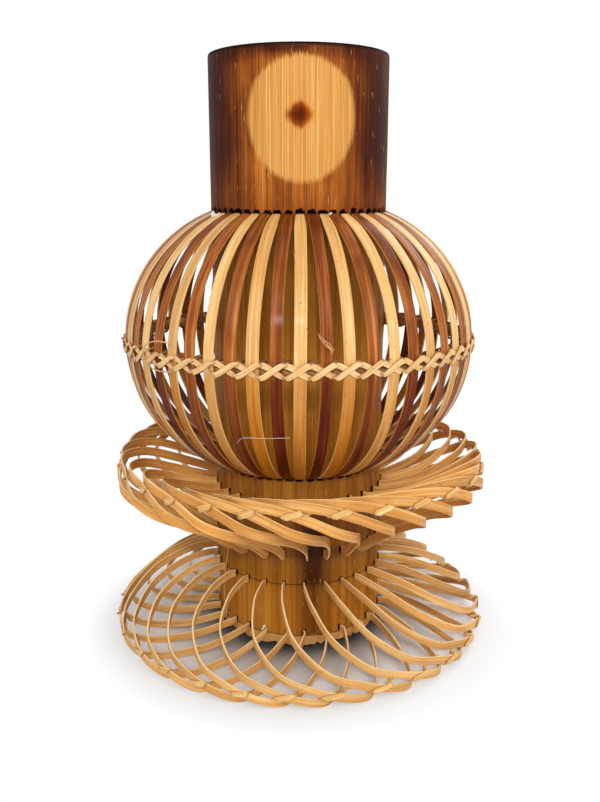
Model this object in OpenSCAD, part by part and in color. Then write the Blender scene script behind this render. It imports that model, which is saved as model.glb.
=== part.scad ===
// Bamboo vase: one upright culm with a bowed belly of light and dark splints
// and two skirts of looped strips, each skirt and the belly lashed at its rim.
// The origin is on the floor under the middle of the culm.

/* [Culm] */
// Height of the mouth above the floor
mouth_z = 333; // [300:1:380]
// Height of the culm's lower end above the floor
foot_z = 4; // [2:0.5:6]
// Outside radius of the culm
culm_r = 49.8; // [46:0.1:54]
// Radius of the bore
bore_r = 41; // [36:0.1:43]
// Rounding of the lip at the mouth
lip_r = 1.2; // [0.5:0.1:2]
// Height of the upper face of the node wall that closes the bore
node_z = 30; // [22:1:34]
// Thickness of the node wall
node_t = 6; // [4:0.5:8]

/* [Slots] */
// Depth of every burnt slot in the culm's wall
slot_depth = 3.4; // [2.5:0.1:4]
// Free play between a strip and its slot, on each side
slot_gap = 0.2; // [0.15:0.05:0.3]
// Free play between the end of a strip and the bottom of its slot
slot_end_gap = 0.3; // [0.2:0.05:0.5]

/* [Belly] */
// Height of the ring of slots under the neck
neck_ring_z = 249.4; // [240:0.1:260]
// Height of the ring of slots at the waist
waist_ring_z = 105.5; // [103:0.1:108]
// Height of the widest place of the belly
belly_z = 177; // [172:0.1:182]
// Outside radius of the belly at its widest place
belly_r = 100.6; // [94:0.1:106]
// Number of pairs of splints, one light and one dark in each pair
splint_pairs = 26; // [18:2:26]
// Width of a splint along the belly
splint_w = 6; // [5:0.1:6.6]
// Width of a splint's ends, where it enters the culm
splint_end_w = 4.2; // [3.6:0.1:4.4]
// Distance from the culm over which a splint grows to its full width
splint_taper = 12; // [8:0.5:20]
// Thickness of a splint
splint_t = 1.2; // [0.8:0.1:1.6]

/* [Belly hoop] */
// Radius of the round hoop rod
hoop_rod_r = 3.2; // [2.5:0.1:4]
// Free play between the hoop and the splints
hoop_gap = 0.25; // [0.2:0.05:0.3]
// Width of a lashing strand
lash_w = 2.2; // [1.6:0.1:2.6]
// Thickness of a lashing strand
lash_t = 0.6; // [0.4:0.05:0.8]
// Free play between a strand and what it is wound round
lash_gap = 0.25; // [0.2:0.05:0.4]

/* [Skirts] */
// Number of strips in each skirt
strips = 28; // [20:2:28]
// Thickness of a skirt strip
strip_t = 1; // [0.8:0.05:1.1]
// Width of a binding strand
bind_w = 1.3; // [1.1:0.1:1.4]
// Thickness of a binding strand
bind_t = 0.5; // [0.4:0.05:0.5]
// Free play between a binding strand and the strip that it holds
bind_gap = 0.3; // [0.25:0.05:0.4]

/* [Upper skirt] */
// Width of an upper skirt strip
upper_w = 5.2; // [4.6:0.1:5.4]
// Height of the ring of slots that the strips leave from
upper_leave_z = 90; // [88:0.5:92]
// Height of the ring of slots that the strips come back to
upper_return_z = 60; // [58:0.5:62]
// Radius of the widest place of the strips' middle line
upper_rim_r = 109; // [105:0.5:113]
// Height of the highest place of the strips' middle line
upper_rim_z = 108.4; // [107:0.1:110]

/* [Lower skirt] */
// Width of a lower skirt strip
lower_w = 4.4; // [4:0.1:4.8]
// Height of the ring of slots that the strips leave from
lower_leave_z = 41; // [39:0.5:43]
// Height of the ring of slots that the strips come back to
lower_return_z = 10.5; // [9.5:0.5:11.5]
// Radius of the widest place of the strips' middle line
lower_rim_r = 111; // [107:0.5:115]

/* [Hidden] */
$fn = 96;
// A small length that keeps faces of cutters off the faces that they cut
eps = 0.01;

splint_count = 2 * splint_pairs;
splint_step = 360 / splint_count;
strip_step = 360 / strips;

// Colours
culm_tone = [0.62, 0.43, 0.22];
light_tone = [0.85, 0.66, 0.38];
dark_tone = [0.33, 0.13, 0.06];
hoop_tone = [0.55, 0.36, 0.18];
strand_tone = [0.90, 0.76, 0.50];
strip_tone = [0.84, 0.61, 0.31];

// Radius at which every strip and splint ends inside the wall
tenon_r = culm_r - slot_depth + slot_end_gap;

// Height of the lower skirt's middle line where the strips lie on the floor
floor_line = lower_w / 2;

// Angle of the first strip of each skirt about the culm, from the front
upper_angle = -1.8;
lower_angle = -3.7;

// Routes of the skirt strips, seen from above. Each row is the turn about the culm in
// degrees, the reach from the culm (0) to the rim (1) and the rise from the ring of slots
// (0) to the rim (1). A route turns its back on the culm, runs along the rim and comes in.
upper_out = [
  [-41, 0.02, 0],
  [-40.6, 0.1, 0.01],
  [-36, 0.43, 0.34],
  [-27, 0.72, 0.79],
  [-17, 0.89, 0.99],
  [-9, 0.955, 0.98],
  [-1, 0.955, 0.8],
];
upper_back = [
  [5.5, 0.985, 0.84],
  [11.5, 0.99, 0.73],
  [17.5, 0.87, 0.6],
  [24, 0.59, 0.43],
  [29, 0.28, 0.2],
  [31, 0.09, 0.02],
  [31, 0.02, 0],
];
lower_out = [
  [-32, 0.02, 1],
  [-32, 0.1, 1],
  [-29.5, 0.36, 0.9],
  [-24, 0.67, 0.64],
  [-14.5, 0.885, 0.33],
  [-4.5, 0.975, 0.15],
  [3.5, 1, 0.035],
];
lower_back = [
  [10.5, 0.945, 0],
  [13.9, 0.854, 0],
  [17.5, 0.73, 0],
  [25.5, 0.41, 0.4],
  [32.6, 0.1, 0.98],
  [33, 0.02, 1],
];

// Places along a route, as points in space with the strip's tie on the X axis
function reach_r(rim_r, reach) = culm_r + reach * (rim_r - culm_r);
function route_points(rows, rim_r, z0, z1) = [
  for (row = rows)
    let (r = reach_r(rim_r, row[1]))
    [r * cos(row[0]), r * sin(row[0]), z0 + row[2] * (z1 - z0)]
];

// Smooth curve through a list of points, with n steps from each point to the next
function between(a, b, c, d, t) =
  0.5 * (2 * b + (c - a) * t + (2 * a - 5 * b + 4 * c - d) * t * t
    + (3 * b - a - 3 * c + d) * t * t * t);
function smooth_points(p, n) =
  let (last = len(p) - 1)
  concat(
    [for (i = [0 : last - 1], k = [0 : n - 1])
      between(
        i == 0 ? 2 * p[0] - p[1] : p[i - 1],
        p[i],
        p[i + 1],
        i == last - 1 ? 2 * p[last] - p[last - 1] : p[i + 2],
        k / n
      )],
    [p[last]]
  );

// The point inside the wall where a strip that passes through point p ends
function tenon_point(p) =
  let (r = norm([p[0], p[1]]))
  [p[0] * tenon_r / r, p[1] * tenon_r / r, p[2]];

function unit(v) = v / norm(v);

function strip_path(points, n) =
  let (bent = smooth_points(points, n))
  concat([tenon_point(points[0])], bent, [tenon_point(points[len(points) - 1])]);

upper_path = strip_path(
  concat(
    route_points(upper_out, upper_rim_r, upper_leave_z, upper_rim_z),
    route_points(upper_back, upper_rim_r, upper_return_z, upper_rim_z)
  ),
  2
);
lower_path = [
  for (p = strip_path(
    concat(
      route_points(lower_out, lower_rim_r, floor_line, lower_leave_z),
      route_points(lower_back, lower_rim_r, floor_line, lower_return_z)
    ),
    2
  )) [p[0], p[1], max(p[2], floor_line)]
];

// Flat strip that stands on edge along an open path: w high and t thick
module flat_strip(path, w, t) {
  last = len(path) - 1;
  corners = [
    for (i = [0 : last])
      let (
        along = unit(path[min(i + 1, last)] - path[max(i - 1, 0)]),
        side = unit([-along[1], along[0], 0]),
        up = cross(along, side)
      )
      for (c = [[-1, -1], [1, -1], [1, 1], [-1, 1]])
        path[i] + side * c[0] * t / 2 + up * c[1] * w / 2
  ];
  polyhedron(
    points = corners,
    faces = concat(
      [[0, 1, 2], [0, 2, 3]],
      [for (i = [0 : last - 1], c = [0 : 3])
        let (a = 4 * i + c, b = 4 * i + (c + 1) % 4)
        each [[a, a + 4, b + 4], [a, b + 4, b]]],
      [[4 * last, 4 * last + 2, 4 * last + 1], [4 * last, 4 * last + 3, 4 * last + 2]]
    )
  );
}

// One flat strand, closed on itself. Each row is the turn, the radius, the height and the
// direction in which the strand's outer face looks, in degrees up from level
module flat_strand(rows, w, t) {
  count = len(rows);
  points = [for (row = rows) [row[1] * cos(row[0]), row[1] * sin(row[0]), row[2]]];
  corners = [
    for (i = [0 : count - 1])
      let (
        along = unit(points[(i + 1) % count] - points[(i + count - 1) % count]),
        turn = rows[i][0],
        look = rows[i][3],
        away = [cos(turn) * cos(look), sin(turn) * cos(look), sin(look)],
        side = unit(away - (away * along) * along),
        up = cross(along, side)
      )
      for (c = [[-1, -1], [1, -1], [1, 1], [-1, 1]])
        points[i] + side * c[0] * t / 2 + up * c[1] * w / 2
  ];
  total = 4 * count;
  polyhedron(
    points = corners,
    faces = [
      for (i = [0 : count - 1], c = [0 : 3])
        let (
          a = 4 * i + c,
          b = 4 * i + (c + 1) % 4,
          a1 = (a + 4) % total,
          b1 = (b + 4) % total
        )
        each [[a, a1, b1], [a, b1, b]]
    ]
  );
}

// Places a child built on the +X axis at a turn about the culm from the front
module at_turn(turn) {
  rotate([0, 0, turn - 90]) children();
}

// Belly: the middle line of a splint is two arcs that meet at the widest place
splint_mid_r = belly_r - splint_t / 2;
function arc_r(dz) = (pow(splint_mid_r - culm_r, 2) + dz * dz) / (2 * (splint_mid_r - culm_r));
upper_dz = neck_ring_z - belly_z;
lower_dz = belly_z - waist_ring_z;
upper_arc = arc_r(upper_dz);
lower_arc = arc_r(lower_dz);

// Slope of a splint's end against the level, in degrees
function end_slope(radius, dz) = 90 - asin(dz / radius);

// Outline of half a splint above the level of the widest place
module half_splint(radius, dz) {
  sweep_angle = asin(dz / radius);
  far = 2 * radius;
  translate([splint_mid_r - radius, 0]) intersection() {
    difference() {
      circle(r = radius + splint_t / 2, $fn = 360);
      circle(r = radius - splint_t / 2, $fn = 360);
    }
    polygon([
      [0, 0],
      [far, 0],
      [far, far * sin(sweep_angle / 2)],
      [far * cos(sweep_angle), far * sin(sweep_angle)],
    ]);
  }
}

// The straight end of a splint, from the outside of the culm into the wall
module splint_end(radius, dz, play) {
  slope = end_slope(radius, dz);
  inward = (culm_r - tenon_r) / cos(slope);
  translate([culm_r, dz]) rotate(-slope)
    translate([-inward - (play > 0 ? slot_end_gap : 0), -splint_t / 2 - play])
      square([inward + (play > 0 ? slot_end_gap + splint_t : 0), splint_t + 2 * play]);
}

module splint_outline() {
  half_splint(upper_arc, upper_dz);
  splint_end(upper_arc, upper_dz, 0);
  mirror([0, 1]) {
    half_splint(lower_arc, lower_dz);
    splint_end(lower_arc, lower_dz, 0);
  }
}

module splint() {
  translate([0, 0, belly_z]) intersection() {
    rotate([90, 0, 0]) linear_extrude(height = splint_w, center = true) splint_outline();
    linear_extrude(height = 2 * (upper_dz + lower_dz), center = true) polygon([
      [0, -splint_end_w / 2],
      [culm_r + splint_t, -splint_end_w / 2],
      [culm_r + splint_taper, -splint_w / 2],
      [belly_r + splint_w, -splint_w / 2],
      [belly_r + splint_w, splint_w / 2],
      [culm_r + splint_taper, splint_w / 2],
      [culm_r + splint_t, splint_end_w / 2],
      [0, splint_end_w / 2],
    ]);
  }
}

// Slots in the culm's wall
module splint_slots() {
  slot_w = splint_end_w + 2 * slot_gap;
  for (i = [0 : splint_count - 1]) at_turn(i * splint_step)
    translate([0, 0, belly_z]) rotate([90, 0, 0]) linear_extrude(height = slot_w, center = true) {
      splint_end(upper_arc, upper_dz, slot_gap);
      mirror([0, 1]) splint_end(lower_arc, lower_dz, slot_gap);
    }
}

module strip_slots(turn, z, w) {
  for (i = [0 : strips - 1]) at_turn(turn + i * strip_step)
    translate([culm_r - slot_depth, -strip_t / 2 - slot_gap, z - w / 2 - slot_gap])
      cube([2 * slot_depth, strip_t + 2 * slot_gap, w + 2 * slot_gap]);
}

function first_turn(rows) = rows[0][0];
function last_turn(rows) = rows[len(rows) - 1][0];

module culm() {
  wall = culm_r - bore_r;
  lip_z = mouth_z - lip_r;
  color(culm_tone) difference() {
    rotate_extrude() {
      translate([bore_r, foot_z]) square([wall, lip_z - foot_z]);
      translate([bore_r + lip_r, lip_z - eps]) square([wall - 2 * lip_r, lip_r + eps]);
      translate([bore_r + lip_r, lip_z]) circle(r = lip_r);
      translate([culm_r - lip_r, lip_z]) circle(r = lip_r);
      translate([0, node_z - node_t]) square([bore_r + wall / 2, node_t]);
    }
    splint_slots();
    strip_slots(upper_angle + first_turn(upper_out), upper_leave_z, upper_w);
    strip_slots(upper_angle + last_turn(upper_back), upper_return_z, upper_w);
    strip_slots(lower_angle + first_turn(lower_out), lower_leave_z, lower_w);
    strip_slots(lower_angle + last_turn(lower_back), lower_return_z, lower_w);
  }
}

// Belly splints: number i and the one opposite, light ones from the front, dark ones between
module belly_light(i) {
  color(light_tone) for (half = [0, 180]) at_turn(2 * (i - 1) * splint_step + half) splint();
}
module belly_dark(i) {
  color(dark_tone) for (half = [0, 180]) at_turn((2 * i - 1) * splint_step + half) splint();
}

// Hoop inside the splints and the two strands that lash each splint to it with a cross
hoop_r = belly_r - splint_t - hoop_gap - hoop_rod_r;
// One pass of a lashing, from one splint to the next. Each row is the share of the way to
// the next splint, the side (-1 inside the hoop, 0 between, 1 outside the splint), the
// height in steps of the lashing's own and the direction in which its face looks
lash_pass = [
  [-0.33, 1, -1, 0],
  [0.33, 1, 1, 0],
  [0.395, 0, 1.06, 90],
  [0.398, -1, 0.4, 180],
  [0.602, -1, -0.4, 180],
  [0.605, 0, -1.06, 270],
];
lash_stand = lash_gap + lash_t / 2;
lash_mid_r = hoop_r - hoop_rod_r / 2;
lash_half_z = hoop_rod_r + lash_stand;
function lash_r(side, layer) =
  let (more = layer * (lash_t + lash_gap))
  side > 0 ? belly_r + lash_stand + more
    : side < 0 ? hoop_r - hoop_rod_r - lash_stand - more
    : lash_mid_r;

module belly_hoop() {
  color(hoop_tone) rotate_extrude() translate([hoop_r, belly_z]) circle(r = hoop_rod_r, $fn = 48);
}
// A lashing that climbs across each splint, about the level of the widest place
module climbing_lash(layer) {
  color(strand_tone) rotate([0, 0, -90]) flat_strand(
    [for (i = [0 : splint_count - 1], row = lash_pass) [
      (i + row[0]) * splint_step,
      lash_r(row[1], layer),
      row[2] * lash_half_z,
      row[3],
    ]],
    lash_w,
    lash_t
  );
}
module belly_lash_rising() {
  translate([0, 0, belly_z]) climbing_lash(0);
}
module belly_lash_falling() {
  translate([0, 0, belly_z]) mirror([0, 0, 1]) climbing_lash(1);
}

// Skirt strips: number i and the one opposite
module upper_strip(i) {
  color(strip_tone) for (half = [0, 180]) at_turn(upper_angle + (i - 1) * strip_step + half)
    flat_strip(upper_path, upper_w, strip_t);
}
module lower_strip(i) {
  color(strip_tone) for (half = [0, 180]) at_turn(lower_angle + (i - 1) * strip_step + half)
    flat_strip(lower_path, lower_w, strip_t);
}

// Bindings: one strand to a skirt. It climbs across the outside of each strip, goes in above
// it, passes behind the next strip and comes out below that one. A pass has seven places,
// each at a share of the way from one tie to the next
upper_shares = [-0.27, -0.06, 0.19, 0.38, 0.47, 0.57, 0.65];
lower_shares = [-0.34, -0.12, 0.12, 0.27, 0.37, 0.455, 0.56];
bind_stand = bind_gap + bind_t / 2;
bind_corner = bind_stand * sqrt(2);
// Angle each side of the tie within which the routes are looked up
tie_angle = 20;
function near_tie(path, axis) = [
  for (p = path)
    let (turn = atan2(p[1], p[0]))
    if (abs(turn) < tie_angle) [turn, axis == 0 ? norm([p[0], p[1]]) : p[2]]
];
function bind_rows(path, w, shares) =
  let (
    radii = near_tie(path, 0),
    heights = near_tie(path, 1),
    turn = shares * strip_step,
    own_r = [for (t = turn) lookup(t, radii)],
    own_z = [for (t = turn) lookup(t, heights)],
    next_r = [for (t = turn) lookup(t - strip_step, radii)],
    next_z = [for (t = turn) lookup(t - strip_step, heights)],
    face = strip_t / 2
  )
  [
    [turn[0], own_r[0] + face + 2 * bind_stand, own_z[0] - w / 2 - bind_corner, 0],
    [turn[1], own_r[1] + face + bind_stand, own_z[1], 0],
    [turn[2], own_r[2] + face + bind_corner, own_z[2] + w / 2 + bind_stand, 0],
    [turn[3], own_r[3] + face + bind_gap, (own_z[3] + next_z[3]) / 2, 90],
    [turn[4], next_r[4] - face - bind_stand, (own_z[4] + next_z[4]) / 2, 135],
    [turn[5], next_r[5] - face - bind_corner, next_z[5] - w / 2 - bind_corner, 180],
    [
      turn[6],
      next_r[6],
      max(next_z[6] - w / 2 - 2 * bind_stand, (own_z[6] + next_z[6]) / 2),
      270,
    ],
  ];
module skirt_binding(path, w, shares, first_turn) {
  pass = bind_rows(path, w, shares);
  color(strand_tone) rotate([0, 0, first_turn - 90]) flat_strand(
    [for (i = [0 : strips - 1], row = pass) [
      row[0] + i * strip_step,
      row[1],
      row[2],
      row[3],
    ]],
    bind_w,
    bind_t
  );
}
module upper_binding() {
  skirt_binding(upper_path, upper_w, upper_shares, upper_angle);
}
module lower_binding() {
  skirt_binding(lower_path, lower_w, lower_shares, lower_angle);
}

culm();
belly_hoop();
belly_lash_rising();
belly_lash_falling();
upper_binding();
lower_binding();
for (i = [1 : splint_pairs / 2]) {
  belly_light(i);
  belly_dark(i);
}
for (i = [1 : strips / 2]) {
  upper_strip(i);
  lower_strip(i);
}
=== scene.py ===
"""Bamboo vase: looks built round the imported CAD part. Lengths in millimetres until a mesh is made."""

import math

import bpy
import numpy as np
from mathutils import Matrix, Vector


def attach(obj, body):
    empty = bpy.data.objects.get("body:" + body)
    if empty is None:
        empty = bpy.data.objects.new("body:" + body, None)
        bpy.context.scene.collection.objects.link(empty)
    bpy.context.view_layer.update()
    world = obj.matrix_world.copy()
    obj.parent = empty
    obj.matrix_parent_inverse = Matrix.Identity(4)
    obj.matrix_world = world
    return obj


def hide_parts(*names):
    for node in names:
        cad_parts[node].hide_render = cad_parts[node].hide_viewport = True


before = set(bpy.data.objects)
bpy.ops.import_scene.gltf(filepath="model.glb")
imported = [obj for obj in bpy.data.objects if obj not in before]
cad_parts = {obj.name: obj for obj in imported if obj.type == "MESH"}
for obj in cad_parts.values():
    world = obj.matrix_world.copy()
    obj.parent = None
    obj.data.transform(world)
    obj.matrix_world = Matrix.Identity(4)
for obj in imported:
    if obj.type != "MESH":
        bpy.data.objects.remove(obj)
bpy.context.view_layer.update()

MM = 0.001
rng = np.random.default_rng(7)

# Culm and belly
CULM_R = 49.8
BORE_R = 41.0
MOUTH_Z = 333.0
FOOT_Z = 4.0
NODE_Z = 30.0
NODE_T = 6.0
NECK_Z = 249.4
WAIST_Z = 105.5
BELLY_Z = 177.0
BELLY_R = 100.6
TENON_R = 46.7

# Splints
SPLINTS = 52
SPLINT_W = 6.3
SPLINT_END_W = 4.2
SPLINT_T = 1.2
SPLINT_TAPER = 12.0
SPLINT_MID_R = BELLY_R - SPLINT_T / 2
SPLINT_TONES = (0.55, 0.90)
SPLINT_CHAR_REACH = 2.4

# Hoop and lashing
HOOP_ROD_R = 3.2
HOOP_GAP = 0.25
HOOP_R = BELLY_R - SPLINT_T - HOOP_GAP - HOOP_ROD_R
LASH_W = 2.9
LASH_T = 0.6
LASH_GAP = 0.15
LAYER_GAP = 0.05

# Skirts and their bindings
STRIPS = 28
STRIP_T = 1.0
UPPER_W = 5.2
LOWER_W = 4.4
STRIP_TONES = (0.25, 0.8)
STRIP_STEP = 1.6
STRIP_CHAR_REACH = 1.6
UPPER_TIE_W = 3.6
LOWER_TIE_W = 3.4
BIND_T = 0.5
BIND_STAND = 0.35

# Routes of the skirt strips: turn from the strip's tie, reach from culm to rim, rise
UPPER_OUT = [
    (-41, 0.02, 0), (-40.6, 0.1, 0.01), (-36, 0.43, 0.34), (-27, 0.72, 0.79),
    (-17, 0.89, 0.99), (-9, 0.955, 0.98), (-1, 0.955, 0.8),
]
UPPER_BACK = [
    (5.5, 0.985, 0.84), (11.5, 0.99, 0.73), (17.5, 0.87, 0.6), (24, 0.59, 0.43),
    (29, 0.28, 0.2), (31, 0.09, 0.02), (31, 0.02, 0),
]
LOWER_OUT = [
    (-32, 0.02, 1), (-32, 0.1, 1), (-29.5, 0.36, 0.9), (-24, 0.67, 0.64),
    (-14.5, 0.885, 0.35), (-4.5, 0.975, 0.215), (3.5, 1, 0.11),
]
LOWER_BACK = [
    (10.5, 0.945, 0.045), (14, 0.85, 0), (17.5, 0.73, 0), (25.5, 0.41, 0.4),
    (32.6, 0.1, 0.98), (33, 0.02, 1),
]
# rise runs between the heights out_z and back_z, w is the strip's width, turn the front tie's
# place, and wide and high are how far the rim stands out at the right and up at the front
UPPER = dict(
    out=UPPER_OUT, back=UPPER_BACK, rim_r=109.0, out_z=(90.0, 108.4), back_z=(60.0, 108.4),
    w=UPPER_W, turn=-1.8, wide=2.6, high=1.9,
)
LOWER = dict(
    out=LOWER_OUT, back=LOWER_BACK, rim_r=112.0, out_z=(LOWER_W / 2, 41.0),
    back_z=(LOWER_W / 2, 10.5), w=LOWER_W, turn=-3.7, wide=0.6, high=0.0,
)

# Slight differences between the handmade strips' ties, in degrees, by place from the front one
UPPER_TIE_SHIFT = {-4: 2.0, -3: 1.8, -2: 1.4, -1: 0.8, 0: 0.0, 1: 0.3, 2: -0.6, 3: -1.0, 4: -1.0}
LOWER_TIE_SHIFT = {-4: 2.2, -3: 1.6, -2: 1.4, -1: 0.9, 0: 0.0, 1: -0.2, 2: 0.8, 3: 0.8, 4: 1.4}


# Small geometry helpers
def unit(v):
    return v / np.maximum(np.linalg.norm(v, axis=-1, keepdims=True), 1e-9)


def polar(turn, r, z):
    """Turn in degrees from the front, counter-clockwise from above."""
    a = np.radians(turn)
    return np.stack([r * np.sin(a), -r * np.cos(a), z + 0 * a], axis=-1)


def bearing_of(turn):
    """The same turn between -180 and 180."""
    return (turn + 180) % 360 - 180


def rise(value, start, full):
    """0 up to start, then evenly up to 1 at full, which may also lie below start."""
    return np.clip((value - start) / (full - start), 0, 1)


def length_so_far(points):
    """Distance along a polyline to each of its points."""
    return np.concatenate([[0], np.cumsum(np.linalg.norm(np.diff(points, axis=0), axis=1))])


def catmull(points, steps):
    """A smooth curve through the points, with that many steps between two of them."""
    p = np.asarray(points, float)
    p = np.vstack([2 * p[0] - p[1], p, 2 * p[-1] - p[-2]])
    t = (np.arange(steps) / steps)[:, None]
    rows = []
    for a, b, c, d in zip(p, p[1:], p[2:], p[3:]):
        rows.append(0.5 * (2 * b + (c - a) * t + (2 * a - 5 * b + 4 * c - d) * t**2
                           + (3 * b - a - 3 * c + d) * t**3))
    return np.vstack(rows + [p[-2][None]])


def closed_curve(points, steps):
    """A smooth ring through the points, and where each new point lies in their count."""
    points = np.array(points)
    smooth = catmull(np.vstack([points[-1:], points, points[:2]]), steps)[steps:-2 * steps]
    return smooth, np.linspace(0, len(points), len(smooth), endpoint=False)


def spread(values, places):
    """Values of a ring's first points, read off at places in their count."""
    values = np.vstack([values, values[:1]])
    count = np.arange(len(values))
    return np.stack([np.interp(places, count, values[:, c]) for c in range(values.shape[1])], axis=1)


def resample(path, step):
    """Points a given distance apart along a polyline."""
    gaps = np.linalg.norm(np.diff(path, axis=0), axis=1)
    path = path[np.concatenate([[True], gaps > 1e-6])]
    so_far = length_so_far(path)
    count = max(2, int(round(so_far[-1] / step)) + 1)
    at = np.linspace(0, so_far[-1], count)
    return np.stack([np.interp(at, so_far, path[:, k]) for k in range(3)], axis=1)


def drift(n, waves, amount, closed=False):
    """A smooth random value along n places."""
    x = np.linspace(0, 1, n, endpoint=not closed)
    y = np.zeros(n)
    for k in range(1, waves + 1):
        y += rng.normal() * np.sin(2 * np.pi * (k * (1 if closed else 0.5) * x + rng.random())) / k
    return amount * y


class Batch:
    """Gathers sweeps that become one mesh object."""

    SHARP_ANGLE = 42

    def __init__(self):
        self.verts = []
        self.faces = []
        self.uv = []
        self.tint = []
        self.count = 0

    def add(self, verts, faces, uv, tint):
        """uv is given for each corner of each face in turn, and tint for each vertex."""
        self.verts.append(verts)
        self.faces += [tuple(int(i) + self.count for i in face) for face in faces]
        self.uv.append(uv)
        self.tint.append(tint)
        self.count += len(verts)

    def build(self, name, material, slot, *nodes):
        """Makes the mesh object, which stands in for the CAD nodes that are named."""
        mesh = bpy.data.meshes.new(name)
        mesh.from_pydata((np.vstack(self.verts) * MM).tolist(), [], self.faces)
        layer = mesh.uv_layers.new(name="UVMap")
        layer.data.foreach_set("uv", np.vstack(self.uv).astype(np.float32).ravel())
        tint = mesh.color_attributes.new("tint", "FLOAT_COLOR", "POINT")
        tint.data.foreach_set("color", np.vstack(self.tint).astype(np.float32).ravel())
        mesh.materials.append(material)
        mesh.polygons.foreach_set("use_smooth", [True] * len(mesh.polygons))
        mesh.set_sharp_from_angle(angle=math.radians(self.SHARP_ANGLE))
        mesh.update()
        obj = bpy.data.objects.new(name, mesh)
        bpy.context.scene.collection.objects.link(obj)
        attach(obj, "root")
        if nodes:
            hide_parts(*nodes)


# Cross-section of a strip: share of half the width, share of half the thickness, cut edge
PROFILE = [
    (-0.92, -1.0, 0.2), (-0.3, -1.0, 0), (0.3, -1.0, 0), (0.92, -1.0, 0.2), (1.0, -0.55, 1),
    (1.0, 0.60, 1), (0.955, 0.93, 0.45), (0.87, 1.0, 0), (0.45, 1.06, 0), (0.0, 1.08, 0),
    (-0.45, 1.06, 0), (-0.87, 1.0, 0), (-0.955, 0.93, 0.45), (-1.0, 0.60, 1), (-1.0, -0.55, 1),
]


def round_profile(sides):
    a = np.arange(sides) * 2 * np.pi / sides
    return [(math.cos(x), math.sin(x), 0) for x in a]


def sweep(batch, path, outs, width, thick, tone, char=None, closed=False, profile=PROFILE, seed=0.0):
    """A strip along a path, its face towards outs. tone is its own tone, which on the splints and lashing
    also carries painted sheen and shade, char (0 to 1) how far it is scorched along the path, and seed
    moves its grain along by that many metres."""
    n, m = len(path), len(profile)
    along = unit(np.roll(path, -1, 0) - np.roll(path, 1, 0)) if closed else unit(np.gradient(path, axis=0))
    out = unit(outs - (outs * along).sum(1)[:, None] * along)
    side = np.cross(along, out)
    width = np.broadcast_to(np.asarray(width, float), (n,))
    thick = np.broadcast_to(np.asarray(thick, float), (n,))
    char = np.zeros(n) if char is None else char
    prof = np.array(profile)
    verts = (path[:, None] + side[:, None] * (prof[None, :, :1] * width[:, None, None] / 2)
             + out[:, None] * (prof[None, :, 1:2] * thick[:, None, None] / 2)).reshape(-1, 3)
    s = length_so_far(path)
    if closed:
        s = np.append(s, s[-1] + np.linalg.norm(path[0] - path[-1]))
    outline = np.vstack([prof[:, :2], prof[:1, :2]]) * [width.mean() / 2, thick.mean() / 2]
    step = length_so_far(outline)
    faces, uv = [], []
    for i in range(n if closed else n - 1):
        j = (i + 1) % n
        for c in range(m):
            d = (c + 1) % m
            faces.append((i * m + c, i * m + d, j * m + d, j * m + c))
            u0, u1, v0, v1 = s[i] * MM + seed, s[i + 1] * MM + seed, step[c] * MM, step[c + 1] * MM
            uv += [(u0, v0), (u0, v1), (u1, v1), (u1, v0)]
    if not closed:
        for i, order in ((0, range(m - 1, -1, -1)), (n - 1, range(m))):
            faces.append(tuple(i * m + c for c in order))
            uv += [(s[i] * MM + seed, step[c] * MM) for c in order]
    tint = np.zeros((n, m, 4))
    tint[:, :, 0] = np.broadcast_to(np.asarray(tone, float), (n,))[:, None]
    tint[:, :, 1] = char[:, None]
    tint[:, :, 2] = prof[None, :, 2]
    tint[:, :, 3] = 1
    batch.add(verts, faces, np.array(uv), tint.reshape(-1, 4))


# Materials
def shader(name):
    mat = bpy.data.materials.new(name)
    mat.use_nodes = True
    tree = mat.node_tree
    return mat, tree, tree.nodes["Principled BSDF"]


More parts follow.
